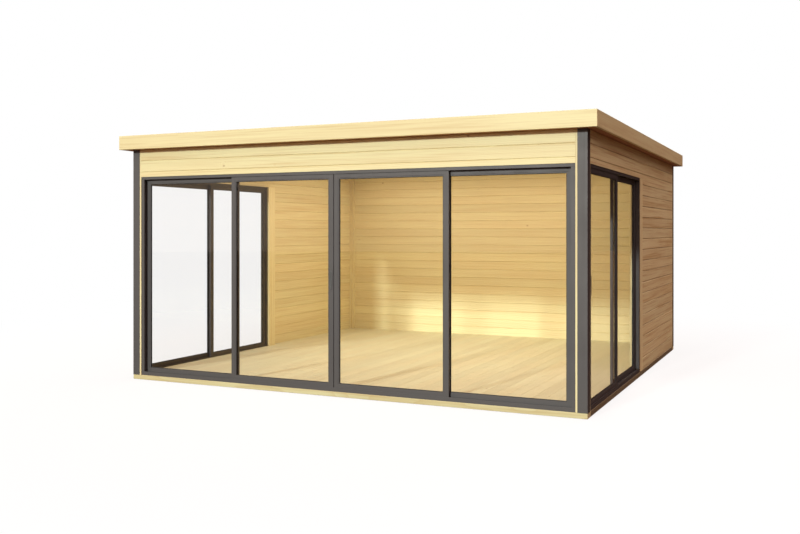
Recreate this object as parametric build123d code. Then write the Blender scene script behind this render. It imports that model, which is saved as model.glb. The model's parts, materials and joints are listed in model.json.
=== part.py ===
from build123d import *
import os

# Garden office pod: a square timber cabin with a flat roof, glazed sliding doors
# across the front and along the front half of both sides, and log walls behind.
# Millimetres. +X is right, +Y is rear, +Z is up. The origin is the middle of the
# footprint, on the underside of the base bearers.

# ---------------------------------------------------------------- driving sizes
plan_size = 4680.0              # outer face to outer face of the corner posts, both ways

# base and floor
bearer_width = 116.0
bearer_height = 46.0
joist_width = 46.0
joist_count = 9
floor_thickness = 22.0

# posts
post_size = 100.0
door_post_width = 140.0
cover_leg = 85.0                # sheet angle over each outer corner
cover_thickness = 2.0

# log walls
log_thickness = 44.0
log_cover = 114.0               # height that each log adds to the wall
log_courses = 20
sole_height = 16.0              # set-back strip under the lowest log
sole_setback = 6.0

# roof
roof_overhang = 100.0
soffit_thickness = 16.0
rafter_width = 45.0
rafter_height = 86.0
rafter_count = 9
deck_thickness = 19.0
membrane_thickness = 3.0
fascia_thickness = 28.0
fascia_drip = 2.0               # fascia hangs this far below the soffit
fascia_upstand = 14.0           # and stands this far above the membrane

# door units: outer frame
unit_height = 2018.0            # underside of the sill to the top of the head
frame_setback = 5.0             # outer face of the frame behind the posts' outer face
side_unit_length = 2240.0       # from the front post back along each side
lip_thickness = 3.0
sill_web = 22.0
sill_lip_height = 37.0
head_web = 20.0
head_lip_height = 28.0
jamb_web = 30.0
jamb_lip_width = 37.0
rail_width = 8.0
rail_height = 9.7

# door leaves
leaf_thickness = 25.0
leaf_gap = 9.0                  # between the outer and the inner leaves
stile_width = 54.0
bottom_rail = 42.0
top_rail = 49.0
glass_thickness = 8.0
glass_edge = 12.0               # glass held this deep in the leaf frame
groove_depth = 14.0

# clearances
slide_clearance = 5.0           # moving leaf to anything beside or above it
rail_clearance = 0.3            # leaf on its rail, and glass in its groove
leaf_meeting_gap = 6.0          # between the two doors that meet at the front's middle
roller_play = 0.5               # spare travel kept at the open stop

# cover strip on the right front door, behind the gap where the two doors meet
strip_thickness = 3.0
strip_lap = 9.0                 # reach over the left door
strip_foot = 5.0

# flush pulls
pull_width = 26.0
pull_length = 165.0
pull_thickness = 4.0
pull_corner = 6.0
pull_height = 1067.0            # middle of the pull above the ground
cup_width = 14.0
cup_length = 90.0
cup_depth = 2.5
cup_rise = 22.0                 # cup's middle above the pull's middle
lock_radius = 8.0
lock_drop = 58.0                # lock's middle below the pull's middle
lock_depth = 1.5

# ---------------------------------------------------------------- derived sizes
half_plan = plan_size / 2
inner_post = half_plan - post_size
wall_inner = half_plan - log_thickness

floor_top = bearer_height + floor_thickness
wall_bottom = bearer_height + sole_height
wall_top = wall_bottom + log_courses * log_cover

soffit_top = wall_top + soffit_thickness
rafter_top = soffit_top + rafter_height
deck_top = rafter_top + deck_thickness
membrane_top = deck_top + membrane_thickness
fascia_bottom = wall_top - fascia_drip
fascia_top = membrane_top + fascia_upstand
roof_half = half_plan + roof_overhang
fascia_inner = roof_half - fascia_thickness

unit_bottom = bearer_height
unit_top = unit_bottom + unit_height
sill_web_top = unit_bottom + sill_web
sill_lip_top = unit_bottom + sill_lip_height
head_web_bottom = unit_top - head_web
head_lip_bottom = unit_top - head_lip_height

frame_face = -(half_plan - frame_setback)
outer_leaf_face = frame_face + lip_thickness + slide_clearance
inner_leaf_face = outer_leaf_face + leaf_thickness + leaf_gap
frame_back = inner_leaf_face + leaf_thickness + slide_clearance + lip_thickness

leaf_bottom = sill_web_top + rail_height + rail_clearance
leaf_top = head_web_bottom - slide_clearance

half_front = inner_post
front_leaf = (half_front - jamb_web - leaf_meeting_gap / 2 + stile_width) / 2
side_leaf = (side_unit_length - 2 * jamb_web - slide_clearance + stile_width) / 2
side_unit_front = -inner_post
side_unit_back = side_unit_front + side_unit_length
door_post_back = side_unit_back + door_post_width

front_fixed_start = half_front - jamb_web - front_leaf
front_door_start = leaf_meeting_gap / 2
side_door_start = side_unit_front + jamb_web + slide_clearance
side_fixed_start = side_unit_back - jamb_web - side_leaf

front_travel = front_fixed_start - front_door_start - strip_foot - slide_clearance - roller_play
side_travel = side_fixed_start + side_leaf - slide_clearance - roller_play - side_door_start - side_leaf


# ---------------------------------------------------------------------- helpers
def block(x, y, z):
    """A box from its (low, high) pairs along X, Y and Z."""
    size = [high - low for low, high in (x, y, z)]
    middle = [(low + high) / 2 for low, high in (x, y, z)]
    return Pos(*middle) * Box(*size)


def band(low, size):
    """The (low, high) pair that starts at low."""
    return (low, low + size)


def spread(low, high, width, count):
    """(low, high) pairs of equal pieces spaced evenly from low to high."""
    step = (high - low - width) / (count - 1)
    return [band(low + index * step, width) for index in range(count)]


def to_right(shape):
    """Turns a piece drawn for the front so that it faces right."""
    return Rot(0, 0, 90) * shape


def to_left(shape):
    return mirror(to_right(shape), about=Plane.YZ)


def left_and_right(shape):
    return Compound([to_left(shape), to_right(shape)])


def mirrored_pair(shape, plane):
    return Compound([shape, mirror(shape, about=plane)])


# --------------------------------------------------------------- base and floor
def make_cross_bearer():
    """The bearer under the front, full width."""
    return block((-half_plan, half_plan), band(-half_plan, bearer_width), (0, bearer_height))


def make_side_bearer():
    reach = half_plan - bearer_width
    return block((reach, half_plan), (-reach, reach), (0, bearer_height))


def make_joists():
    reach = half_plan - bearer_width
    places = spread(-reach, reach, joist_width, joist_count + 2)
    return Compound([block((-reach, reach), place, (0, bearer_height)) for place in places[1:-1]])


def make_floor():
    """Floor boards as one sheet, out to the walls' and door frames' inner faces."""
    level = (bearer_height, floor_top)
    room = block((-inner_post, inner_post), (-inner_post, inner_post), level)
    back_edge = block((-inner_post, inner_post), (inner_post, wall_inner), level)
    front_edge = block((-inner_post, inner_post), (frame_back, -inner_post), level)
    floor = room + back_edge + front_edge
    door_reach = -frame_back
    for side in (-1, 1):
        by_door = sorted((side * inner_post, side * door_reach))
        by_wall = sorted((side * inner_post, side * wall_inner))
        floor += block(by_door, (side_unit_front, side_unit_back), level)
        floor += block(by_wall, (door_post_back, inner_post), level)
    return floor


# ------------------------------------------------------------------------ posts
def make_post(y_side):
    """The right-hand corner post at the front (-1) or the back (1)."""
    y = sorted((y_side * inner_post, y_side * half_plan))
    return block((inner_post, half_plan), y, (bearer_height, wall_top))


def make_cover():
    """Sheet angle over the outer corner of the front right post."""
    height = (bearer_height, wall_top)
    outer = half_plan + cover_thickness
    start = outer - cover_leg
    front_leg = block((start, outer), (-outer, -half_plan), height)
    side_leg = block((half_plan, outer), (-outer, -start), height)
    return front_leg + side_leg


def make_door_post():
    """The post behind a side unit, drawn for the front; it stops under the logs above it."""
    y = (-half_plan, -inner_post)
    return block((side_unit_back, door_post_back), y, (bearer_height, unit_top))


# -------------------------------------------------------------------- log walls
def make_log_wall(start, end):
    """A wall on its set-back sole, drawn for the front from start to end along X."""
    logs = block((start, end), (-half_plan, -wall_inner), (wall_bottom, wall_top))
    sole_y = (-half_plan + sole_setback, -wall_inner - sole_setback)
    return logs + block((start, end), sole_y, (bearer_height, wall_bottom))


def make_lintel(start, end):
    """The logs over a door unit, drawn for the front."""
    return block((start, end), (-half_plan, -wall_inner), (unit_top, wall_top))


# ------------------------------------------------------------- door outer frame
def lip_pair(x, z):
    """The outer and inner lips of a frame channel."""
    outer = block(x, band(frame_face, lip_thickness), z)
    inner = block(x, (frame_back - lip_thickness, frame_back), z)
    return outer + inner


def make_sill(start, end):
    """Threshold channel with one rail under each leaf."""
    sill = block((start, end), (frame_face, frame_back), (unit_bottom, sill_web_top))
    sill += lip_pair((start, end), (sill_web_top, sill_lip_top))
    for face in (outer_leaf_face, inner_leaf_face):
        middle = face + leaf_thickness / 2
        rail_y = (middle - rail_width / 2, middle + rail_width / 2)
        rail_x = (start + jamb_web, end - jamb_web)
        sill += block(rail_x, rail_y, band(sill_web_top, rail_height))
    return sill


def make_head(start, end):
    head = block((start, end), (frame_face, frame_back), (head_web_bottom, unit_top))
    return head + lip_pair((start, end), (head_lip_bottom, head_web_bottom))


def make_jamb(edge, inward):
    """Side channel at x = edge; inward is the direction of the opening, -1 or 1."""
    web_x = sorted((edge, edge + inward * jamb_web))
    lip_x = sorted((edge, edge + inward * jamb_lip_width))
    web_y = (frame_face + lip_thickness, frame_back - lip_thickness)
    web = block(web_x, web_y, (sill_web_top, head_web_bottom))
    return web + lip_pair(lip_x, (sill_lip_top, head_lip_bottom))


# ------------------------------------------------------------------ door leaves
def make_leaf_frame(start, width, face):
    """Stiles and rails of one leaf with a groove all round for the glass."""
    y = band(face, leaf_thickness)
    leaf = block(band(start, width), y, (leaf_bottom, leaf_top))
    sight_x = (start + stile_width, start + width - stile_width)
    sight_z = (leaf_bottom + bottom_rail, leaf_top - top_rail)
    leaf -= block(sight_x, y, sight_z)
    middle = face + leaf_thickness / 2
    half_groove = glass_thickness / 2 + rail_clearance
    groove_x = (sight_x[0] - groove_depth, sight_x[1] + groove_depth)
    groove_z = (sight_z[0] - glass_edge - rail_clearance, sight_z[1] + groove_depth)
    return leaf - block(groove_x, (middle - half_groove, middle + half_groove), groove_z)


def make_glass(start, width, face):
    middle = face + leaf_thickness / 2
    glass_x = (start + stile_width - glass_edge, start + width - stile_width + glass_edge)
    glass_z = (leaf_bottom + bottom_rail - glass_edge, leaf_top - top_rail + glass_edge)
    return block(glass_x, (middle - glass_thickness / 2, middle + glass_thickness / 2), glass_z)


def make_meeting_strip():
    """Foot and cover of the strip that closes the gap between the front doors."""
    leaf_back = outer_leaf_face + leaf_thickness
    cover_y = band(leaf_back + slide_clearance, strip_thickness)
    foot_x = band(front_door_start, strip_foot)
    z = (leaf_bottom, leaf_top)
    cover = block((-leaf_meeting_gap / 2 - strip_lap, foot_x[1]), cover_y, z)
    return cover + block(foot_x, (leaf_back, cover_y[0]), z)


def make_pull(x, face, outward):
    """A flush pull plate on a stile: shallow cup above, lock disc below. outward is -1 or 1 in Y."""
    edge = face + outward * pull_thickness
    plate_y = sorted((face, edge))
    plate = block((x - pull_width / 2, x + pull_width / 2), plate_y, (0, pull_length))
    plate = Pos(0, 0, pull_height - pull_length / 2) * plate
    plate = fillet(plate.edges().filter_by(Axis.Y), pull_corner)
    cup_y = sorted((edge, edge - outward * cup_depth))
    cup_z = (pull_height + cup_rise - cup_length / 2, pull_height + cup_rise + cup_length / 2)
    cup = block((x - cup_width / 2, x + cup_width / 2), cup_y, cup_z)
    lock = Cylinder(lock_radius, lock_depth, rotation=(90, 0, 0))
    lock_place = Pos(x, edge - outward * lock_depth / 2, pull_height - lock_drop)
    return plate - cup - lock_place * lock


def make_pull_pair(x):
    """Pulls on both faces of an outer leaf."""
    outside = make_pull(x, outer_leaf_face, -1)
    inside = make_pull(x, outer_leaf_face + leaf_thickness, 1)
    return Compound([outside, inside])


# ------------------------------------------------------------------------- roof
def make_end_soffit():
    """Soffit board over the front: it lies on the lintel and reaches out to the fascia."""
    return block((-fascia_inner, fascia_inner), (-fascia_inner, -wall_inner), (wall_top, soffit_top))


def make_side_soffit():
    return block((wall_inner, fascia_inner), (-wall_inner, wall_inner), (wall_top, soffit_top))


def make_rafters():
    places = spread(-fascia_inner, fascia_inner, rafter_width, rafter_count)
    y = (-fascia_inner, fascia_inner)
    return Compound([block(place, y, (soffit_top, rafter_top)) for place in places])


def make_roof_sheet(bottom, top):
    return block((-fascia_inner, fascia_inner), (-fascia_inner, fascia_inner), (bottom, top))


def make_end_fascia():
    return block((-roof_half, roof_half), (-roof_half, -fascia_inner), (fascia_bottom, fascia_top))


def make_side_fascia():
    return block((fascia_inner, roof_half), (-fascia_inner, fascia_inner), (fascia_bottom, fascia_top))


# --------------------------------------------------------------------- assembly
nodes = {}

nodes["cross_bearers"] = mirrored_pair(make_cross_bearer(), Plane.XZ)
nodes["side_bearers"] = mirrored_pair(make_side_bearer(), Plane.YZ)
nodes["floor_joists"] = make_joists()
nodes["floor_boards"] = make_floor()

nodes["front_posts"] = mirrored_pair(make_post(-1), Plane.YZ)
nodes["back_posts"] = mirrored_pair(make_post(1), Plane.YZ)
front_covers = mirrored_pair(make_cover(), Plane.YZ)
nodes["front_post_covers"] = front_covers
nodes["back_post_covers"] = mirror(front_covers, about=Plane.XZ)
nodes["door_posts"] = left_and_right(make_door_post())

side_wall = make_log_wall(door_post_back, inner_post)
side_lintel = make_lintel(side_unit_front, door_post_back)
nodes["back_wall"] = mirror(make_log_wall(-inner_post, inner_post), about=Plane.XZ)
nodes["left_wall"] = to_left(side_wall)
nodes["right_wall"] = to_right(side_wall)
nodes["front_lintel"] = make_lintel(-inner_post, inner_post)
nodes["left_lintel"] = to_left(side_lintel)
nodes["right_lintel"] = to_right(side_lintel)

nodes["front_door_sill"] = make_sill(-half_front, half_front)
nodes["front_door_head"] = make_head(-half_front, half_front)
nodes["front_door_jambs"] = mirrored_pair(make_jamb(half_front, -1), Plane.YZ)
nodes["side_door_sills"] = left_and_right(make_sill(side_unit_front, side_unit_back))
nodes["side_door_heads"] = left_and_right(make_head(side_unit_front, side_unit_back))
side_jambs = Compound([make_jamb(side_unit_front, 1), make_jamb(side_unit_back, -1)])
nodes["side_door_jambs"] = left_and_right(side_jambs)

front_fixed = (front_fixed_start, front_leaf, inner_leaf_face)
side_fixed = (side_fixed_start, side_leaf, inner_leaf_face)
nodes["front_fixed_frames"] = mirrored_pair(make_leaf_frame(*front_fixed), Plane.YZ)
nodes["front_fixed_glass"] = mirrored_pair(make_glass(*front_fixed), Plane.YZ)
nodes["side_fixed_frames"] = left_and_right(make_leaf_frame(*side_fixed))
nodes["side_fixed_glass"] = left_and_right(make_glass(*side_fixed))

front_door = (front_door_start, front_leaf, outer_leaf_face)
front_frame = make_leaf_frame(*front_door)
front_glass = make_glass(*front_door)
front_pull_x = front_door_start + stile_width / 2
nodes["front_left_door_frame"] = mirror(front_frame, about=Plane.YZ)
nodes["front_left_door_glass"] = mirror(front_glass, about=Plane.YZ)
nodes["front_left_door_pulls"] = make_pull_pair(-front_pull_x)
nodes["front_right_door_frame"] = front_frame
nodes["front_right_door_glass"] = front_glass
nodes["front_meeting_strip"] = make_meeting_strip()
nodes["front_right_door_pull"] = make_pull(front_pull_x, outer_leaf_face + leaf_thickness, 1)

side_door = (side_door_start, side_leaf, outer_leaf_face)
side_frame = make_leaf_frame(*side_door)
side_glass = make_glass(*side_door)
side_pulls = make_pull_pair(side_door_start + stile_width / 2)
for side, turn in (("left", to_left), ("right", to_right)):
    nodes[side + "_door_frame"] = turn(side_frame)
    nodes[side + "_door_glass"] = turn(side_glass)
    nodes[side + "_door_pulls"] = turn(side_pulls)

nodes["end_soffits"] = mirrored_pair(make_end_soffit(), Plane.XZ)
nodes["side_soffits"] = mirrored_pair(make_side_soffit(), Plane.YZ)
nodes["rafters"] = make_rafters()
nodes["roof_deck"] = make_roof_sheet(rafter_top, deck_top)
nodes["roof_membrane"] = make_roof_sheet(deck_top, membrane_top)
nodes["end_fascias"] = mirrored_pair(make_end_fascia(), Plane.XZ)
nodes["side_fascias"] = mirrored_pair(make_side_fascia(), Plane.YZ)

os.makedirs("parts", exist_ok=True)
for name, shape in nodes.items():
    export_step(shape, f"parts/{name}.step")

print("nodes", len(nodes))
print("front travel", round(front_travel, 3), "side travel", round(side_travel, 3))
print("overall height", fascia_top, "roof outline", 2 * roof_half)
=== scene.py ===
"""Dresses the garden office pod with its logs, boards, profiles, seals, glass and roof sheet."""

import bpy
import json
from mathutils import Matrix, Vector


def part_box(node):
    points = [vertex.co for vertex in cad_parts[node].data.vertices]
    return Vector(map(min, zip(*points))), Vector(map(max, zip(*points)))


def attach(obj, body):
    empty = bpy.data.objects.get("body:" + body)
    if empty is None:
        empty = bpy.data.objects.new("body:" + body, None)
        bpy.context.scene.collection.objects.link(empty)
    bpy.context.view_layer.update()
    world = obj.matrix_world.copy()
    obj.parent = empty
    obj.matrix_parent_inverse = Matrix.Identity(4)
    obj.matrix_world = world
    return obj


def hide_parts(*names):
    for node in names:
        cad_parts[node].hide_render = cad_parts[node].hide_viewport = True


bl_info = {
    "name": "Garden office pod",
    "version": (1, 0, 0),
    "blender": (4, 5, 0),
    "location": "View3D > Sidebar > Pod",
    "description": "Models the boards, frames and finishes of a garden office pod around its CAD frame",
    "category": "Object",
}

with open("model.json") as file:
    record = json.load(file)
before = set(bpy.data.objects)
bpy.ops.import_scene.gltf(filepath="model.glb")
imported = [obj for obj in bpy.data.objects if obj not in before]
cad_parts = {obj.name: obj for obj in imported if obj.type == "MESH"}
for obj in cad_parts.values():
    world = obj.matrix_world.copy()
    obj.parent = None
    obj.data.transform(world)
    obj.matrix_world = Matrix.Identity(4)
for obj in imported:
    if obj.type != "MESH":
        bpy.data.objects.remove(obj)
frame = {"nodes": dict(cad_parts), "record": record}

import json
import math
import random

import bpy
from bpy.props import FloatProperty, FloatVectorProperty, IntProperty, PointerProperty
from mathutils import Vector

# ---------- sizes read from the frame
POST_LOW, POST_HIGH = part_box("front_posts")
COVER_LOW, COVER_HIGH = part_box("front_post_covers")
WALL_LOW, WALL_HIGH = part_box("back_wall")
DOOR_POST_LOW, DOOR_POST_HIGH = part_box("door_posts")
SILL_LOW, SILL_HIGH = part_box("front_door_sill")
HEAD_LOW, HEAD_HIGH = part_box("front_door_head")
LEAF_LOW, LEAF_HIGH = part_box("front_left_door_frame")
FLOOR_LOW, FLOOR_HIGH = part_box("floor_boards")
DECK_LOW, DECK_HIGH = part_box("roof_deck")
SHEET_LOW, SHEET_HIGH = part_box("roof_membrane")
FASCIA_LOW, FASCIA_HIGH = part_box("end_fascias")

HALF_PLAN = POST_HIGH.x                       # outer face of the posts
INNER_POST = WALL_HIGH.x                      # inner face of the corner posts
LOG_THICKNESS = WALL_HIGH.y - WALL_LOW.y
BEARER_TOP = POST_LOW.z
DOOR_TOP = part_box("front_lintel")[0].z        # top of the door units
SIDE_WALL_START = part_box("right_wall")[0].y   # rear face of the door posts
UNIT_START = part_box("right_lintel")[0].y      # front end of the side door units
UNIT_END = DOOR_POST_LOW.y
FRAME_FRONT = SILL_LOW.y + HALF_PLAN          # depth of the door frames' outer face
FRAME_BACK = SILL_HIGH.y + HALF_PLAN
LEAF_THICKNESS = LEAF_HIGH.y - LEAF_LOW.y
OUTER_LEAF = LEAF_LOW.y + HALF_PLAN           # depth of the outer leaves' outer face
INNER_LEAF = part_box("front_fixed_frames")[0].y + HALF_PLAN

ENDS = ("front", "back")
FLANKS = ("left", "right")
DOOR_UNITS = {
    "front": [("front", -INNER_POST, INNER_POST)],
    "side": [(side, UNIT_START, UNIT_END) for side in FLANKS],
}
SLOTS = {row["node"]: row["material_slot"] for row in frame["record"]["subparts"]}

# ---------- sizes that the frame's boxes don't give
SOLE_HEIGHT = 0.016                # strip between a wall's bearer and its lowest log
SOLE_INSET = 0.006
FIRST_LOG = WALL_LOW.z + SOLE_HEIGHT
TONGUE_HALF, TONGUE_RISE = 0.0068, 0.008
GROOVE_HALF, GROOVE_RISE = 0.0074, 0.009
COVER_FOLD, COVER_EDGE = 0.003, 0.0006   # where a post cover's fold begins, and its edges' rounding
FOLD_MIDDLE = 0.3 * COVER_FOLD     # how far the fold's middle lies inside the corner
JOIST_WIDTH, JOIST_COUNT = 0.046, 9
RAFTER_WIDTH, RAFTER_COUNT = 0.045, 9
FLOOR_CHAMFER = 0.0015
SHEET_WIDTHS = 3                   # widths of sheet that cover the roof
SHEET_TURN_UP = 0.011
LAP_RISE = 0.0016

SILL_WEB, HEAD_WEB, JAMB_WEB = 0.022, 0.020, 0.030   # from a profile's back to its channel
JAMB_LIP = 0.037                   # from a jamb's back to the ends of its lips
LIP = 0.003                        # thickness of the profiles' lips
RAIL_WIDTH, RAIL_HEIGHT = 0.008, 0.0097
BRUSH_CLEARANCE = 0.0008           # between a brush seal and its leaf
BRUSH_INSET = (0.0005, 0.0045)     # from the ends of the lips to a brush seal's two edges
GLASS_PLAY = 0.0003                # between a pane and each side of its groove
GROOVE_SPARE = 0.002               # depth of the groove beyond the pane's edge
# A gasket's section as (share of its width, height above the glass) points.
GASKET_WEDGE = ((0, 0), (0, 0.0045), (0.25, 0.0045), (0.8, 0.0025), (1, 0.001), (1, 0))

SHARP = math.radians(30)           # an edge that turns more than this gets rounded
WELD = 0.00005                     # points nearer than this become one
COVER_SMOOTH, PROFILE_SMOOTH = 50, 40   # up to these angles faces are shaded as one


# ---------- the settings
def length(name, description, default):
    return FloatProperty(name=name, description=description, default=default, unit="LENGTH")


def amount(name, description, default):
    return FloatProperty(name=name, description=description, default=default)


def colour(name, description, *default):
    return FloatVectorProperty(name=name, description=description, default=default, subtype="COLOR")


class TimberSettings(bpy.types.PropertyGroup):
    """Boards, logs and their colours."""

    log_cover: length("Log cover", "Height that each log adds to a wall", 0.114)
    log_chamfer: length("Log chamfer", "Chamfer along the logs' edges", 0.005)
    joint_gap: length("Joint gap", "Gap left between boards", 0.0006)
    floor_boards: IntProperty(
        name="Floor boards", description="Boards between the posts' inner faces", default=38
    )
    deck_boards: IntProperty(name="Roof boards", description="Boards over the rafters", default=40)
    arris: length("Arris", "Rounding of posts, rafters and fascias", 0.003)
    pale: colour("Early wood", "Pale part of each growth ring", 0.84, 0.765, 0.455)
    late: colour("Late wood", "Darker line of each growth ring", 0.71, 0.56, 0.29)
    knot: colour("Knot", "Heart of a knot", 0.33, 0.17, 0.075)


class MetalSettings(bpy.types.PropertyGroup):
    """Powder-coated profiles and the roof sheet."""

    coat: colour("Coat", "Anthracite powder coat", 0.026, 0.0255, 0.027)
    edge: length("Edge radius", "Rounding of the profiles' edges", 0.0008)
    bead_width: length("Bead width", "Glazing bead beside the glass", 0.012)
    bead_step: length("Bead step", "Bead's face behind the leaf's face", 0.003)
    sheet: colour("Roof sheet", "Colour of the roofing rubber", 0.045, 0.046, 0.050)
    sheet_lap: length("Roof lap", "Width of the laps in the roof sheet", 0.08)


class GlassSettings(bpy.types.PropertyGroup):
    """Panes and the rubber that holds them."""

    tint: colour("Tint", "Colour of light through a pane's face", 0.988, 0.989, 0.990)
    edge_cover: length("Edge cover", "Depth of glass held in its frame", 0.012)
    gasket: length("Gasket", "Visible width of the glazing rubber", 0.004)
    rubber: colour("Rubber", "Colour of the gaskets and brushes", 0.012, 0.012, 0.013)


class StageSettings(bpy.types.PropertyGroup):
    """The studio round the pod."""

    sun: amount("Key", "Strength of the key light", 2.62)
    softness: FloatProperty(
        name="Softness", description="Angle over which the key light spreads",
        default=math.radians(5.0), unit="ROTATION",
    )
    front: amount("Front", "Strength of the glow from the front left", 0.90)
    left: amount("Left", "Strength of the glow from the left", 0.35)
    above: amount("Above", "Strength of the glow from above", 2.06)
    fill: amount("Fill", "Strength of the dim light all round", 0.035)
    glow: colour("Glow", "Colour of the glows from the front and the left", 1.0, 0.82, 0.69)
    overhead: colour("Overhead", "Colour of the glow from above", 1.0, 0.71, 0.65)
    shade: colour("Shade", "Colour of the dim light all round", 1.0, 0.60, 0.48)
    bounce: colour("Bounce", "How much light the floor throws back", 0.10, 0.06, 0.04)
    back: amount("Back", "Strength of the light on the rear wall", 1.1)
    room: amount("Room", "Power of the panel inside, in watts", 76.0)
    lens: amount("Lens", "Focal length in millimetres", 40.25)


# ---------- modelling by hand
def let_go():
    """Leaves edit mode and deselects everything, so that the next operator acts on one piece alone."""
    if bpy.context.object and bpy.context.object.mode != "OBJECT":
        bpy.ops.object.mode_set(mode="OBJECT")
    bpy.ops.object.select_all(action="DESELECT")


def pick(piece):
    """Selects one piece alone and makes it the active one."""
    let_go()
    piece.select_set(True)
    bpy.context.view_layer.objects.active = piece


def on_face(side, along, depth, height):
    """The point that is depth inwards from the posts' outer plane on one side of the pod."""
    out = HALF_PLAN - depth
    places = {"front": (along, -out), "back": (along, out), "left": (-out, along), "right": (out, along)}
    return Vector((*places[side], height))


def trace(outline):
    """Starts a piece in edit mode. A small plane is merged to a point, which is drawn out from point to
    point of the outline, and the outline is filled."""
    let_go()
    bpy.ops.mesh.primitive_plane_add(size=0.01, location=outline[0])
    bpy.ops.object.mode_set(mode="EDIT")
    bpy.ops.mesh.select_all(action="SELECT")
    bpy.ops.mesh.merge(type="CENTER")
    for here, there in zip(outline, outline[1:]):
        bpy.ops.mesh.extrude_region_move(TRANSFORM_OT_translate={"value": there - here})
    bpy.ops.mesh.select_all(action="SELECT")
    bpy.ops.mesh.edge_face_add()


def end_edit():
    """Turns all faces outwards and leaves edit mode."""
    bpy.ops.mesh.select_all(action="SELECT")
    bpy.ops.mesh.normals_make_consistent(inside=False)
    bpy.ops.object.mode_set(mode="OBJECT")
    return bpy.context.object


def traced_bar(outline, pull):
    """A bar: its section is traced and filled, then pulled out along its length."""
    trace(outline)
    bpy.ops.mesh.extrude_region_move(TRANSFORM_OT_translate={"value": pull})
    return end_edit()


def bar_along(side, section, start, end):
    """A bar along one side of the pod from its (depth, height) section."""
    outline = [on_face(side, start, depth, height) for depth, height in section]
    return traced_bar(outline, on_face(side, end, 0, 0) - on_face(side, start, 0, 0))


def bar_up(side, section, low, high):
    """An upright bar on one side of the pod from its (along, depth) section."""
    outline = [on_face(side, along, depth, low) for along, depth in section]
    return traced_bar(outline, Vector((0, 0, high - low)))


def bar_on_axis(axis, section, start, end):
    """A bar along the world's X or Y axis from its (across, height) section."""
    def point(along, across, height):
        return Vector((along, across, height) if axis == "X" else (across, along, height))

    return traced_bar([point(start, *corner) for corner in section], point(end - start, 0, 0))


def rectangle(first, second):
    """Corner points of a rectangle from its (low, high) pairs."""
    return [(first[0], second[0]), (first[1], second[0]), (first[1], second[1]), (first[0], second[1])]


def soften(piece, width, segments=2):
    """Rounds every sharp edge of a piece."""
    pick(piece)
    bpy.ops.object.mode_set(mode="EDIT")
    bpy.ops.mesh.select_mode(type="EDGE")
    bpy.ops.mesh.select_all(action="DESELECT")
    bpy.ops.mesh.edges_select_sharp(sharpness=SHARP)
    bpy.ops.mesh.bevel(offset=width, segments=segments, affect="EDGES")
    bpy.ops.mesh.select_mode(type="VERT")
    bpy.ops.object.mode_set(mode="OBJECT")
    return piece


def soft_bars(sides, section, start, end, arris):
    """The same rounded bar along each of the sides."""
    return [soften(bar_along(side, section, start, end), arris) for side in sides]


def copied(piece, shift):
    """A copy of a piece with its own mesh, moved by shift."""
    pick(piece)
    bpy.ops.object.duplicate()
    bpy.ops.transform.translate(value=shift)
    return bpy.context.object


def row_of(piece, count, step):
    """The piece and its copies, each a step further on."""
    return [piece] + [copied(piece, step * index) for index in range(1, count)]


def spaced_bars(node, axis, width, count, arris):
    """Rounded bars along an axis, evenly spaced over the node's box."""
    low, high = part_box(node)
    along, across = (0, 1) if axis == "X" else (1, 0)
    step = Vector((0, 0, 0))
    step[across] = (high[across] - low[across] - width) / (count - 1)
    section = rectangle((low[across], low[across] + width), (low.z, high.z))
    return row_of(soften(bar_on_axis(axis, section, low[along], high[along]), arris), count, step)


def mitred_ring(side, outer, inner, section):
    """A ring of one profile with mitred corners. outer and inner are its (low, high) pairs along and up;
    section is (share, depth) points, where share runs from 0 on the outer edge to 1 on the inner one."""
    along, up = outer
    width, height = inner[0][0] - along[0], inner[1][0] - up[0]
    rise = (up[1] - inner[1][1]) / height
    outline = [(along[0] + share * width, depth, up[0] + share * height) for share, depth in section]
    trace([on_face(side, *point) for point in outline])
    bpy.ops.mesh.delete(type="ONLY_FACE")

    # Each straight is pulled to the next corner, and its end is flipped there into the mitre.
    mirror = Vector((1, 1, 1))
    mirror[0 if side in ENDS else 1] = -1
    flips = (mirror, Vector((1, 1, -rise)), mirror, Vector((1, 1, -1 / rise)))
    corners = [on_face(side, place, 0, level) for place, level in rectangle(along, up)]
    bpy.ops.mesh.select_all(action="SELECT")
    for index, flip in enumerate(flips):
        here, there = corners[index], corners[(index + 1) % 4]
        bpy.ops.mesh.extrude_region_move(TRANSFORM_OT_translate={"value": there - here})
        bpy.ops.transform.resize(value=flip, center_override=there)
    bpy.ops.mesh.select_all(action="SELECT")
    bpy.ops.mesh.remove_doubles(threshold=WELD)
    return end_edit()


def number_boards(pieces, seed):
    """Gives each board its own number from 0 to 1, which its grain and tint follow."""
    chance = random.Random(seed)
    for piece in pieces:
        number = chance.random()
        layer = piece.data.attributes.new("board", "FLOAT", "POINT")
        layer.data.foreach_set("value", [number] * len(piece.data.vertices))


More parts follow.
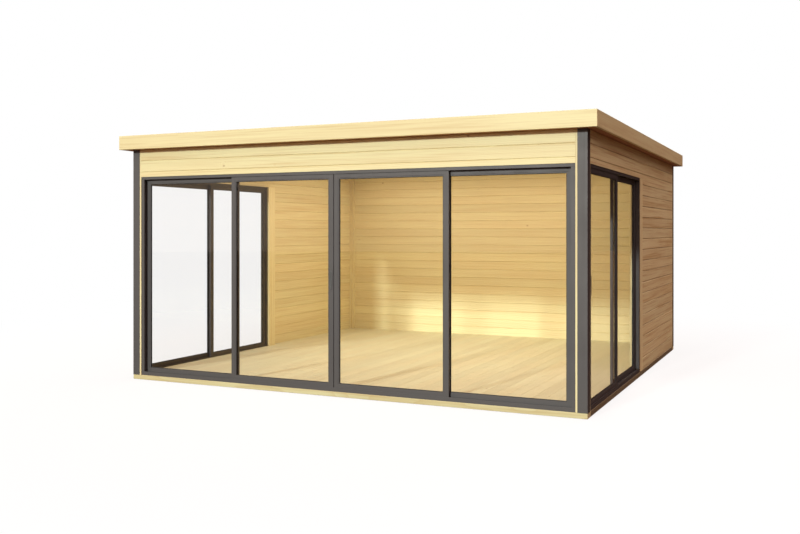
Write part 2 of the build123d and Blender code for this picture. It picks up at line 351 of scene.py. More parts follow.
def finish(parts, name, look, nodes=(), body="root", seed=None, smooth=None):
    """Joins parts in one finished piece with its place in its mesh and the material named by look. It
    rides on the body and stands for the nodes, which it hides; seals have no node. seed numbers the parts
    as boards, and smooth is the angle in degrees up to which faces are shaded as one."""
    if seed is not None:
        number_boards(parts, seed)
    let_go()
    for part in parts:
        part.select_set(True)
    bpy.context.view_layer.objects.active = parts[0]
    if len(parts) > 1:
        bpy.ops.object.join()
    bpy.ops.object.transform_apply(location=True, rotation=True, scale=True)
    piece = bpy.context.object
    piece.name = name
    piece.data.name = name
    if smooth is not None:
        bpy.ops.object.shade_smooth_by_angle(angle=math.radians(smooth))
        bpy.ops.object.modifier_add(type="WEIGHTED_NORMAL")
        piece.modifiers[0].keep_sharp = True
        bpy.ops.object.modifier_apply(modifier=piece.modifiers[0].name)
    piece.data.materials.clear()
    piece.data.materials.append(material(look))
    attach(piece, body)
    if nodes:
        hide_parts(*nodes)


# ---------- the materials
GRAIN_TURNS = {"X": (0, 0, 0), "Y": (0, 0, math.radians(-90)), "Z": (0, math.radians(90), 0)}
BOARD_SHIFTS = (31.0, 17.3, 7.9)   # how far apart boards number 0 and 1 lie in the wood
WARM_WOOD = (0.70, 0.47, 0.23)
STREAK = (0.60, 0.42, 0.19)
# Colour of the grime in the log joints, which also paints shade into the grooves.
GRIME_AND_SHADE = (0.20, 0.10, 0.05)
COAT_DUST = (0.27, 0.235, 0.19)
SHEET_DUST = (0.19, 0.185, 0.17)
PULL_DARK, PULL_LIGHT = (0.10, 0.10, 0.105), (0.16, 0.16, 0.16)
COAT, RUBBER = "anthracite_coat", "black_rubber"

# Greatest and least roughness, how far the fibres stand up, and how deep the whole relief is.
PLANED = (0.62, 0.46, 0.5, 0.00035)
SAWN = (0.74, 0.56, 0.9, 0.0006)

# The distances from the pod's middle between which weathering, and grime with painted shade in the
# joints, set in.
WEATHERED = (HALF_PLAN - 0.012, HALF_PLAN - 0.008)
GRIMY_AND_SHADED = (HALF_PLAN - 0.020, HALF_PLAN - 0.012)

# Each timber's grain axis, and how it differs from plain planed spruce.
TIMBERS = {
    "spruce_along_x": {"axis": "X"},
    "spruce_along_y": {"axis": "Y"},
    "spruce_along_z": {"axis": "Z"},
    "sawn_spruce_along_x": {"axis": "X", "sawn": True, "wash": (0.80, 0.82, 0.80)},
    # The side bearers are painted dark, as painted shade beside the ground.
    "damp_sawn_spruce": {"axis": "Y", "sawn": True, "wash": (0.25, 0.23, 0.24)},
    "back_wall_spruce": {"axis": "X", "figure": 0.45, "weather_and_joint_shade": 2.4},
    "side_wall_spruce": {"axis": "Y", "figure": 0.8, "weather_and_joint_shade": 1.6},
    "scrubbed_floor_spruce": {"axis": "Y", "figure": 0.32, "wash": (0.84, 0.91, 1.06)},
    # The boards under the eaves are painted redder and darker, as painted shade, and darker still along
    # the sides.
    "soffit_timber_along_x": {"axis": "X", "wash": (0.95, 0.60, 0.47)},
    "soffit_timber_along_y": {"axis": "Y", "wash": (0.62, 0.37, 0.32)},
    # The side fascias are painted a little darker and greyer, as painted shade.
    "side_fascia_spruce": {"axis": "Y", "wash": (0.93, 0.95, 0.95)},
}


def rgba(tone):
    """A shader colour from red, green and blue. A socket stays as it is."""
    return tone if isinstance(tone, bpy.types.NodeSocket) else (*tone, 1.0)


def lighter(tone, times):
    return [min(1.0, part * times) for part in tone]


class ShaderTree:
    """The shader nodes of a new material or world. Its methods add nodes and give what they put out."""

    def __init__(self, owner):
        owner.use_nodes = True
        self.owner = owner
        self.tree = owner.node_tree
        self.tree.nodes.clear()

    def add(self, kind, inputs=None, **settings):
        """Adds a node, sets it up, feeds its inputs from values or sockets, and gives its outputs."""
        made = self.tree.nodes.new("ShaderNode" + kind)
        for name, value in settings.items():
            setattr(made, name, value)
        for key, value in (inputs or {}).items():
            if isinstance(value, bpy.types.NodeSocket):
                self.tree.links.new(value, made.inputs[key])
            else:
                made.inputs[key].default_value = value
        return made.outputs

    def place(self):
        return self.add("TexCoord")["Object"]

    def calc(self, operation, first, second=0.0):
        return self.add("Math", {0: first, 1: second}, operation=operation)[0]

    def times(self, first, second):
        return self.calc("MULTIPLY", first, second)

    def plus(self, first, second):
        return self.calc("ADD", first, second)

    def move(self, vector, shift):
        return self.add("VectorMath", {0: vector, 1: shift}, operation="ADD")[0]

    def stretch(self, vector, scale):
        return self.add("VectorMath", {0: vector, 1: scale}, operation="MULTIPLY")[0]

    def noise(self, vector, scale=1.0, detail=2.0, roughness=0.5, part="Fac"):
        feeds = {"Vector": vector, "Scale": scale, "Detail": detail, "Roughness": roughness}
        return self.add("TexNoise", feeds)[part]

    def ramp(self, value, low, high, new_low=0.0, new_high=1.0):
        """Leads smoothly from new_low, where value is low, to new_high, where it is high."""
        feeds = {"Value": value, "From Min": low, "From Max": high, "To Min": new_low, "To Max": new_high}
        return self.add("MapRange", feeds, interpolation_type="SMOOTHSTEP")[0]

    def blend(self, share, first, second, way="MIX"):
        feeds = {0: share, 6: rgba(first), 7: rgba(second)}
        return self.add("Mix", feeds, data_type="RGBA", blend_type=way)[2]

    def mix_shaders(self, share, first, second):
        return self.add("MixShader", {0: share, 1: first[0], 2: second[0]})

    def close(self, base, rough, relief, strength, depth, constants):
        """Joins colour, roughness and relief in one finish, with the constants on the shader itself, and
        gives the material."""
        normal = self.add("Bump", {"Height": relief, "Strength": strength, "Distance": depth})[0]
        feeds = {"Base Color": base, "Roughness": rough, "Normal": normal, **constants}
        self.add("OutputMaterial", {"Surface": self.add("BsdfPrincipled", feeds)[0]})
        return self.owner


def new_tree(name):
    return ShaderTree(bpy.data.materials.new(name))


def timber_material(name, axis, sawn=False, wash=(1.0, 1.0, 1.0), figure=1.0, weather_and_joint_shade=0.0):
    """Spruce with growth rings that wander along the board, streaks, fibres, a few knots, and a tint for
    each board. wash tints the whole, figure is how strongly it is streaked, and the last argument adds to
    that on the outer faces of the walls and darkens their joints with grime and painted shade."""
    settings = bpy.context.scene.pod_timber
    tree = new_tree(name)
    place = tree.place()

    # In the wood's own space X runs along the grain, and each board has its own place.
    turned = tree.add("Mapping", {"Vector": place, "Rotation": GRAIN_TURNS[axis]})[0]
    board = tree.add("Attribute", attribute_name="board")["Fac"]
    shifts = {index: tree.times(board, shift) for index, shift in enumerate(BOARD_SHIFTS)}
    wood = tree.move(turned, tree.add("CombineXYZ", shifts)[0])

    # Knots stand in some of the cells. Each has a dark heart and pushes the rings aside.
    cells = tree.add("TexVoronoi", {"Vector": tree.stretch(wood, (3.4, 5.0, 5.0)), "Scale": 1.0})
    chance = tree.add("SeparateColor", {0: cells["Color"]})[0]
    present = tree.ramp(chance, 0.45, 0.85)
    heart = tree.times(tree.ramp(cells["Distance"], 0.03, 0.075, 1.0, 0.0), present)
    halo = tree.times(tree.ramp(cells["Distance"], 0.06, 0.26, 0.022, 0.0), present)
    pushed = tree.add("CombineXYZ", {1: halo, 2: halo})[0]

    # Growth rings lie round a pith that drifts slowly along the board.
    slow = tree.noise(tree.stretch(wood, (0.8, 0.05, 0.05)), part="Color")
    drift = tree.stretch(tree.move(slow, (-0.5, -0.5, -0.5)), (0.0, 0.11, 0.11))
    ring_space = tree.stretch(tree.move(tree.move(wood, drift), pushed), (0.05, 1.0, 1.0))
    waves = {"Vector": ring_space, "Scale": 34.0, "Distortion": 1.6, "Detail": 2.0, "Detail Scale": 0.8}
    rings = tree.add("TexWave", waves, wave_type="RINGS", rings_direction="X", wave_profile="SAW")["Fac"]
    late = tree.calc("POWER", rings, 2.4)

    # Streaks, bands, fibres and blotches are all drawn out along the grain.
    streak = tree.noise(tree.stretch(wood, (0.9, 58.0, 58.0)), detail=3.0, roughness=0.6)
    band = tree.noise(tree.stretch(wood, (0.5, 15.0, 15.0)))
    fibre = tree.noise(tree.stretch(wood, (9.0, 520.0, 520.0)), roughness=0.6)
    blotch = tree.noise(tree.stretch(wood, (0.7, 2.5, 2.5)))
    share = tree.plus(tree.times(late, 0.55), tree.times(streak, 0.20))
    share = tree.plus(share, tree.times(fibre, 0.12))
    ringed = tree.blend(share, settings.pale, settings.late)
    warm = tree.blend(tree.times(tree.ramp(blotch, 0.35, 0.7), 0.22), ringed, WARM_WOOD)
    lines = tree.times(tree.ramp(streak, 0.46, 0.70), 0.42 * figure)
    lines = tree.plus(lines, tree.times(tree.ramp(band, 0.44, 0.70), 0.22 * figure))
    if weather_and_joint_shade:
        spot = tree.add("SeparateXYZ", {0: place})
        away = tree.calc("ABSOLUTE", spot[0 if axis == "Y" else 1])
        outside = tree.ramp(away, *WEATHERED)
        lines = tree.times(lines, tree.plus(1.0, tree.times(outside, weather_and_joint_shade)))
    streaked = tree.blend(lines, warm, STREAK)
    tint = tree.ramp(board, 0.0, 1.0, 0.96, 1.04)
    tints = {index: tree.times(tint, part) for index, part in enumerate(wash)}
    tinted = tree.blend(1.0, streaked, tree.add("CombineColor", tints)[0], "MULTIPLY")
    knotted = tree.blend(tree.times(heart, 0.6), tinted, settings.knot)
    if weather_and_joint_shade:
        # Grime and painted shade sit in patches along the joints, on the chamfers and just beside them.
        rise = tree.calc("SUBTRACT", spot[2], FIRST_LOG)
        from_joint = tree.calc("PINGPONG", rise, settings.log_cover / 2)
        patchy = tree.times(tree.ramp(away, *GRIMY_AND_SHADED), tree.ramp(blotch, 0.3, 0.6, 0.25, 1.0))
        joint_grime_and_shade = tree.times(tree.ramp(from_joint, 0.002, 0.008, 0.5, 0.0), patchy)
        knotted = tree.blend(joint_grime_and_shade, knotted, GRIME_AND_SHADE)

    roughest, smoothest, fibre_rise, depth = SAWN if sawn else PLANED
    rough = tree.ramp(streak, 0.2, 0.8, roughest, smoothest)
    relief = tree.plus(tree.times(late, -0.5), tree.times(fibre, fibre_rise))
    relief = tree.plus(relief, tree.times(heart, 0.8))
    return tree.close(knotted, rough, relief, 0.5, depth, {"Specular IOR Level": 0.35})


def coat_material(name):
    """Anthracite powder coat with its fine texture and a little dust low down."""
    settings = bpy.context.scene.pod_metal
    tree = new_tree(name)
    place = tree.place()
    cloud = tree.noise(place, 3.0, 4.0, 0.6)
    fine = tree.noise(place, 1300.0)
    streaks = tree.noise(tree.stretch(place, (60.0, 60.0, 1.5)), detail=3.0, roughness=0.6)
    shade = tree.plus(tree.times(cloud, 0.5), tree.times(streaks, 0.4))
    coat = tree.blend(tree.ramp(shade, 0.3, 0.65, 0.0, 0.45), settings.coat, lighter(settings.coat, 1.35))
    height = tree.add("SeparateXYZ", {0: place})[2]
    dust = tree.times(tree.ramp(height, 0.05, 0.35, 0.04, 0.0), streaks)
    rough = tree.ramp(shade, 0.3, 0.65, 0.55, 0.66)
    gloss = {"IOR": 1.6, "Specular IOR Level": 0.80, "Specular Tint": (1.0, 0.90, 0.89, 1.0)}
    return tree.close(tree.blend(dust, coat, COAT_DUST), rough, fine, 0.25, 0.0002, gloss)


def rubber_material(name):
    """Black rubber of the gaskets and brushes."""
    black = bpy.context.scene.pod_glass.rubber
    tree = new_tree(name)
    grain = tree.noise(tree.place(), 700.0, 3.0, 0.6)
    shade = tree.blend(grain, black, lighter(black, 1.8))
    return tree.close(shade, tree.ramp(grain, 0.3, 0.7, 0.52, 0.68), grain, 0.3, 0.0003, {})


def sheet_material(name):
    """Roofing rubber: dusty, with pale rings where puddles dried."""
    tree = new_tree(name)
    place = tree.place()
    dust = tree.noise(place, 2.2, 5.0, 0.65)
    puddle = tree.noise(place, 0.9, 3.0)
    from_shore = tree.calc("ABSOLUTE", tree.calc("SUBTRACT", puddle, 0.56))
    ring = tree.ramp(from_shore, 0.0, 0.05, 0.09, 0.0)
    grit = tree.noise(place, 420.0, 3.0, 0.6)
    share = tree.plus(tree.ramp(dust, 0.35, 0.75, 0.05, 0.32), ring)
    dusty = tree.blend(share, bpy.context.scene.pod_metal.sheet, SHEET_DUST)
    rough = tree.ramp(dust, 0.3, 0.7, 0.80, 0.92)
    return tree.close(dusty, rough, grit, 0.4, 0.0006, {"Specular IOR Level": 0.12})


def pull_material(name):
    """Satin grey metal of the pulls and locks, brushed along their length."""
    tree = new_tree(name)
    brushed = tree.noise(tree.stretch(tree.place(), (1500.0, 1500.0, 12.0)))
    shade = tree.blend(brushed, PULL_DARK, PULL_LIGHT)
    rough = tree.ramp(brushed, 0.3, 0.7, 0.28, 0.42)
    return tree.close(shade, rough, brushed, 0.2, 0.0001, {"Metallic": 0.85})


def glass_material(name):
    """Clear pane: light goes straight through, and the face that it enters mirrors more the flatter it is
    seen."""
    tree = new_tree(name)
    smear = tree.noise(tree.place(), 1.8, 4.0, 0.6)
    clear = tree.add("BsdfTransparent", {"Color": rgba(bpy.context.scene.pod_glass.tint)})
    mirror = tree.add("BsdfGlossy", {"Roughness": tree.ramp(smear, 0.4, 0.8, 0.0, 0.03)})
    edge = tree.add("Fresnel", {"IOR": 1.5})[0]
    leaving = tree.add("NewGeometry")["Backfacing"]
    share = tree.times(edge, tree.calc("SUBTRACT", 1.0, leaving))
    tree.add("OutputMaterial", {"Surface": tree.mix_shaders(share, clear, mirror)[0]})
    return tree.owner


COATINGS = {
    COAT: coat_material,
    RUBBER: rubber_material,
    "roof_sheet": sheet_material,
    "satin_pull": pull_material,
    "clear_pane": glass_material,
}


def material(name):
    """The material of that name, made the first time that it is asked for."""
    made = bpy.data.materials.get(name)
    if made:
        return made
    if name in TIMBERS:
        return timber_material(name, **TIMBERS[name])
    return COATINGS[name](name)


# ---------- boards and logs
def log_section(low, high, tongued=True, grooved=True):
    """Section of a log as (depth, height) points: chamfered faces, a tongue on top and a groove below."""
    settings = bpy.context.scene.pod_timber
    chamfer = settings.log_chamfer
    half = LOG_THICKNESS / 2
    top = high - settings.joint_gap
    inner = [(half - chamfer, low), (half, low + chamfer), (half, top - chamfer), (half - chamfer, top)]
    if grooved:
        inner = [(GROOVE_HALF, low + GROOVE_RISE), (GROOVE_HALF, low)] + inner
    if tongued:
        inner += [(TONGUE_HALF, top), (TONGUE_HALF, top + TONGUE_RISE)]
    outer = [(-depth, height) for depth, height in reversed(inner)]
    return [(half + depth, height) for depth, height in inner + outer]


def cut_log_section(low, high):
    """Section of a log that is cut flat over a door unit."""
    whole = log_section(low, high, grooved=False)
    upper = [point for point in whole if point[1] > (low + high) / 2]
    return upper + [(0.0, low), (LOG_THICKNESS, low)]


class POD_OT_log_walls(bpy.types.Operator):
    """Stacks the logs of the walls and of the bands over the door units"""

    bl_idname = "pod.log_walls"
    bl_label = "Log walls"

    def course(self, side, start, end, first, count):
        """Equal whole logs from number first up."""
        cover = bpy.context.scene.pod_timber.log_cover
        low = FIRST_LOG + first * cover
        log = bar_along(side, log_section(low, low + cover), start, end)
        return row_of(log, count, Vector((0, 0, cover)))

    def stack(self, side, start, end, first, last):
        """Whole logs number first to last, the last one without a tongue."""
        cover = bpy.context.scene.pod_timber.log_cover
        logs = self.course(side, start, end, first, last - first)
        top = FIRST_LOG + last * cover
        return logs + [bar_along(side, log_section(top, top + cover, tongued=False), start, end)]

    def sole(self, side, start, end):
        section = rectangle((SOLE_INSET, LOG_THICKNESS - SOLE_INSET), (BEARER_TOP, FIRST_LOG))
        return bar_along(side, section, start, end)

    def execute(self, context):
        cover = context.scene.pod_timber.log_cover
        top_log = round((WALL_HIGH.z - FIRST_LOG) / cover) - 1
        cut_log = math.floor((DOOR_TOP - FIRST_LOG) / cover)
        cut_low, cut_top = FIRST_LOG + cut_log * cover, FIRST_LOG + (cut_log + 1) * cover

        back = self.stack("back", -INNER_POST, INNER_POST, 0, top_log)
        back.append(self.sole("back", -INNER_POST, INNER_POST))
        finish(back, "back_wall_logs", "back_wall_spruce", ["back_wall"], seed=11)

        front = self.stack("front", -INNER_POST, INNER_POST, cut_log + 1, top_log)
        front.append(bar_along("front", cut_log_section(DOOR_TOP, cut_top), -INNER_POST, INNER_POST))
        finish(front, "front_lintel_logs", "spruce_along_x", ["front_lintel"], seed=12)

        for seed, side in ((13, "left"), (14, "right")):
            logs = self.course(side, SIDE_WALL_START, INNER_POST, 0, cut_log)
            logs += self.stack(side, -INNER_POST, INNER_POST, cut_log + 1, top_log)
            number_boards(logs, seed)
            # One log is whole over the wall and cut over the doors, so its two parts share a number.
            whole = bar_along(side, log_section(cut_low, cut_top), SIDE_WALL_START, INNER_POST)
            cut = bar_along(side, cut_log_section(DOOR_TOP, cut_top), -INNER_POST, SIDE_WALL_START)
            sole = self.sole(side, SIDE_WALL_START, INNER_POST)
            number_boards([whole], seed * 10)
            number_boards([cut], seed * 10)
            number_boards([sole], seed * 10 + 1)
            nodes = [f"{side}_wall", f"{side}_lintel"]
            finish(logs + [whole, cut, sole], f"{side}_wall_logs", "side_wall_spruce", nodes)
        return {"FINISHED"}


class POD_OT_posts(bpy.types.Operator):
    """Models the corner posts and the posts behind the side doors"""

    bl_idname = "pod.posts"
    bl_label = "Posts"

    def post(self, side, along, low, high):
        section = rectangle(along, (0, HALF_PLAN - INNER_POST))
        return soften(bar_up(side, section, low.z, high.z), bpy.context.scene.pod_timber.arris)

    def execute(self, context):
        for seed, side in ((21, "front"), (22, "back")):
            post = self.post(side, (INNER_POST, HALF_PLAN), POST_LOW, POST_HIGH)
            pair = [post, copied(post, Vector((-HALF_PLAN - INNER_POST, 0, 0)))]
            finish(pair, f"{side}_posts_planed", "spruce_along_z", [f"{side}_posts"], seed=seed)
        along = (DOOR_POST_LOW.y, DOOR_POST_HIGH.y)
        pair = [self.post(side, along, DOOR_POST_LOW, DOOR_POST_HIGH) for side in FLANKS]
        finish(pair, "door_posts_planed", "spruce_along_z", ["door_posts"], seed=23)
        return {"FINISHED"}


class POD_OT_post_covers(bpy.types.Operator):
    """Folds the sheet angles over the outer corners"""

    bl_idname = "pod.post_covers"
    bl_label = "Post covers"

    def cover(self, hand, end):
        """The sheet over one corner. hand is -1 left or 1 right, and end is -1 front or 1 rear."""
        outer = COVER_HIGH.x
        sheet = outer - HALF_PLAN
        leg = COVER_HIGH.y - COVER_LOW.y
        section = (
            (leg, 0), (COVER_FOLD, 0), (FOLD_MIDDLE, FOLD_MIDDLE), (0, COVER_FOLD),
            (0, leg), (sheet, leg), (sheet, sheet), (leg, sheet),
        )
        outline = [Vector((hand * (outer - x), end * (outer - y), COVER_LOW.z)) for x, y in section]
        return soften(traced_bar(outline, Vector((0, 0, COVER_HIGH.z - COVER_LOW.z))), COVER_EDGE, 1)

    def execute(self, context):
        for name, end in (("front", -1), ("back", 1)):
            node = f"{name}_post_covers"
            pair = [self.cover(hand, end) for hand in (-1, 1)]
            finish(pair, f"{node}_folded", COAT, [node], smooth=COVER_SMOOTH)
        return {"FINISHED"}


class POD_OT_base(bpy.types.Operator):
    """Models the bearers and joists under the floor"""

    bl_idname = "pod.base"
    bl_label = "Base"

    def execute(self, context):
        arris = context.scene.pod_timber.arris
        width = HALF_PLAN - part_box("side_bearers")[1].y
        section = rectangle((0, width), (0, BEARER_TOP))
        cross = soft_bars(ENDS, section, -HALF_PLAN, HALF_PLAN, arris)
        finish(cross, "cross_bearers_sawn", "sawn_spruce_along_x", ["cross_bearers"], seed=31)
        sides = soft_bars(FLANKS, section, width - HALF_PLAN, HALF_PLAN - width, arris)
        finish(sides, "side_bearers_sawn", "damp_sawn_spruce", ["side_bearers"], seed=32)
        joists = spaced_bars("floor_joists", "X", JOIST_WIDTH, JOIST_COUNT, arris)
        finish(joists, "floor_joists_sawn", "sawn_spruce_along_x", ["floor_joists"], seed=33)
        return {"FINISHED"}


def board_section(left, right, back, face, chamfer):
    """Section of a board as (across, height) points, from its flat back to its chamfered face."""
    bevel = math.copysign(chamfer, face - back)
    return [
        (left, back), (right, back), (right, face - bevel), (right - chamfer, face),
        (left + chamfer, face), (left, face - bevel),
    ]


class POD_OT_floor(bpy.types.Operator):
    """Lays the floor boards from front to back, notched round the posts"""

    bl_idname = "pod.floor"
    bl_label = "Floor"

    def board(self, left, right, front, back):
        section = board_section(left, right, FLOOR_LOW.z, FLOOR_HIGH.z, FLOOR_CHAMFER)
        return bar_on_axis("Y", section, front, back)

    def execute(self, context):
        settings = context.scene.pod_timber
        width = 2 * INNER_POST / settings.floor_boards
        first_edge = width - INNER_POST - settings.joint_gap
        first = self.board(-INNER_POST, first_edge, FLOOR_LOW.y, FLOOR_HIGH.y)
        boards = row_of(first, settings.floor_boards, Vector((width, 0, 0)))
        for hand in (-1, 1):
            by_door = sorted((hand * INNER_POST, hand * (HALF_PLAN - FRAME_BACK)))
            by_wall = sorted((hand * INNER_POST, hand * (HALF_PLAN - LOG_THICKNESS)))
            boards.append(self.board(*by_door, UNIT_START, UNIT_END))
            boards.append(self.board(*by_wall, SIDE_WALL_START, INNER_POST))
        finish(boards, "floor_boards_laid", "scrubbed_floor_spruce", ["floor_boards"], seed=41)
        return {"FINISHED"}


class POD_OT_roof(bpy.types.Operator):
    """Models the rafters, roof boards, soffits, fascias and the roof sheet"""

    bl_idname = "pod.roof"
    bl_label = "Roof"

    def deck(self, settings):
        width = (DECK_HIGH.y - DECK_LOW.y) / settings.deck_boards
        right = DECK_LOW.y + width - settings.joint_gap
        section = board_section(DECK_LOW.y, right, DECK_HIGH.z, DECK_LOW.z, settings.log_chamfer)
        board = bar_on_axis("X", section, DECK_LOW.x, DECK_HIGH.x)
        boards = row_of(board, settings.deck_boards, Vector((0, width, 0)))
        finish(boards, "roof_deck_boards", "spruce_along_x", ["roof_deck"], seed=52)

    def soffits(self, arris):
        low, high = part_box("end_soffits")
        section = rectangle((HALF_PLAN - high.y, LOG_THICKNESS), (low.z, high.z))
        ends = soft_bars(ENDS, section, low.x, high.x, arris)
        finish(ends, "end_soffit_boards", "soffit_timber_along_x", ["end_soffits"], seed=53)
        low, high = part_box("side_soffits")
        sides = soft_bars(FLANKS, section, low.y, high.y, arris)
        finish(sides, "side_soffit_boards", "soffit_timber_along_y", ["side_soffits"], seed=54)

    def fascias(self, arris):
        depth = (HALF_PLAN - FASCIA_HIGH.y, HALF_PLAN - DECK_HIGH.y)
        section = rectangle(depth, (FASCIA_LOW.z, FASCIA_HIGH.z))
        ends = soft_bars(ENDS, section, FASCIA_LOW.x, FASCIA_HIGH.x, arris)
        finish(ends, "end_fascia_boards", "spruce_along_x", ["end_fascias"], seed=55)
        sides = soft_bars(FLANKS, section, DECK_LOW.y, DECK_HIGH.y, arris)
        finish(sides, "side_fascia_boards", "side_fascia_spruce", ["side_fascias"], seed=56)

    def sheet(self, lap):
        """Roof sheet in lapped widths, turned up a little at the fascias."""
        thickness = SHEET_HIGH.z - SHEET_LOW.z
        front, back = SHEET_LOW.y, SHEET_HIGH.y
        top, rim = SHEET_HIGH.z, SHEET_HIGH.z + SHEET_TURN_UP
        outline = [
            (front, SHEET_LOW.z), (back, SHEET_LOW.z),
            (back, rim), (back - thickness, rim), (back - 2 * thickness, top),
            (front + 2 * thickness, top), (front + thickness, rim), (front, rim),
        ]
        parts = [bar_on_axis("X", outline, SHEET_LOW.x, SHEET_HIGH.x)]
        width = (SHEET_HIGH.x - SHEET_LOW.x) / SHEET_WIDTHS
        reach = back - 2 * thickness
        for index in range(1, SHEET_WIDTHS):
            left = SHEET_LOW.x + index * width - lap / 2
            strip = [
                (left, top), (left + lap, top),
                (left + lap - LAP_RISE, top + LAP_RISE), (left, top + LAP_RISE * 0.6),
            ]
            parts.append(bar_on_axis("Y", strip, -reach, reach))
        finish(parts, "roof_sheet", "roof_sheet", ["roof_membrane"])

    def execute(self, context):
        settings = context.scene.pod_timber
        rafters = spaced_bars("rafters", "Y", RAFTER_WIDTH, RAFTER_COUNT, settings.arris)
        finish(rafters, "rafters_planed", "spruce_along_y", ["rafters"], seed=51)
        self.deck(settings)
        self.soffits(settings.arris / 2)
        self.fascias(settings.arris)
        self.sheet(context.scene.pod_metal.sheet_lap)
        return {"FINISHED"}


# ---------- door units
def channel_section(outer, web, lip):
    """Section of a frame profile as (depth, level) points: its back lies at outer, the bottom of its
    channel at web and the ends of its two lips at lip."""
    return [
        (FRAME_FRONT, outer), (FRAME_FRONT, lip), (FRAME_FRONT + LIP, lip), (FRAME_FRONT + LIP, web),
        (FRAME_BACK - LIP, web), (FRAME_BACK - LIP, lip), (FRAME_BACK, lip), (FRAME_BACK, outer),
    ]


class POD_OT_door_frames(bpy.types.Operator):
    """Models the sills with their rails, the heads and the jambs, with brush seals in their lips"""

    bl_idname = "pod.door_frames"
    bl_label = "Door frames"

    def rails(self, side, start, end, edge):
        """A rail under the middle of each track's leaves."""
        rail_low = SILL_LOW.z + SILL_WEB
        bars = []
        for face in (OUTER_LEAF, INNER_LEAF):
            middle = face + LEAF_THICKNESS / 2
            depth = (middle - RAIL_WIDTH / 2, middle + RAIL_WIDTH / 2)
            bar = bar_along(side, rectangle(depth, (rail_low, rail_low + RAIL_HEIGHT)), start, end)
            bars.append(soften(bar, edge))
        return bars

    def jamb(self, side, post, inward, edge):
        """An upright profile against a post, open towards the leaves."""
        channel = channel_section(post, post + inward * JAMB_WEB, post + inward * JAMB_LIP)
        section = [(along, depth) for depth, along in channel]
        return soften(bar_up(side, section, SILL_HIGH.z, HEAD_LOW.z), edge)

    def seals(self, side, start, end):
        """Brush strips in the gaps between the lips and the leaves, just clear of the leaves."""
        rows = (
            (FRAME_FRONT + LIP, OUTER_LEAF - BRUSH_CLEARANCE),
            (INNER_LEAF + LEAF_THICKNESS + BRUSH_CLEARANCE, FRAME_BACK - LIP),
        )
        near, far = BRUSH_INSET
        levels = ((SILL_HIGH.z - far, SILL_HIGH.z - near), (HEAD_LOW.z + near, HEAD_LOW.z + far))
        sections = [rectangle(depth, level) for depth in rows for level in levels]
        return [bar_along(side, section, start, end) for section in sections]

    def execute(self, context):
        edge = context.scene.pod_metal.edge
        sill = channel_section(SILL_LOW.z, SILL_LOW.z + SILL_WEB, SILL_HIGH.z)
        head = channel_section(HEAD_HIGH.z, HEAD_HIGH.z - HEAD_WEB, HEAD_LOW.z)
        for place, units in DOOR_UNITS.items():
            parts = {"sill": [], "head": [], "jamb": []}
            seals = []
            for side, start, end in units:
                inside = (start + JAMB_WEB, end - JAMB_WEB)
                parts["sill"].append(soften(bar_along(side, sill, start, end), edge))
                parts["sill"] += self.rails(side, *inside, edge * 3)
                parts["head"].append(soften(bar_along(side, head, start, end), edge))
                parts["jamb"] += [self.jamb(side, start, 1, edge), self.jamb(side, end, -1, edge)]
                seals += self.seals(side, *inside)
            plural = "s" if place == "side" else ""
            for word, profiles in parts.items():
                node = f"{place}_door_{word}" + ("s" if word == "jamb" else plural)
                name = f"{place}_door_{word}_profile{plural}"
                finish(profiles, name, COAT, [node], smooth=PROFILE_SMOOTH)
            finish(seals, f"{place}_brush_seals", RUBBER)
        return {"FINISHED"}


def leaf_places():
    """Each leaf as (name, side, start, width, depth of its outer face)."""
    front_width = LEAF_HIGH.x - LEAF_LOW.x
    front_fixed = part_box("front_fixed_frames")
    side_low, side_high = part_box("right_door_frame")
    side_width = side_high.y - side_low.y
    side_fixed_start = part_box("side_fixed_frames")[1].y - side_width
    return (
        ("front_left_door", "front", LEAF_LOW.x, front_width, OUTER_LEAF),
        ("front_right_door", "front", -LEAF_HIGH.x, front_width, OUTER_LEAF),
        ("left_door", "left", side_low.y, side_width, OUTER_LEAF),
        ("right_door", "right", side_low.y, side_width, OUTER_LEAF),
        ("front_fixed", "front", front_fixed[0].x, front_width, INNER_LEAF),
        ("front_fixed", "front", front_fixed[1].x - front_width, front_width, INNER_LEAF),
        ("side_fixed", "left", side_fixed_start, side_width, INNER_LEAF),
        ("side_fixed", "right", side_fixed_start, side_width, INNER_LEAF),
    )


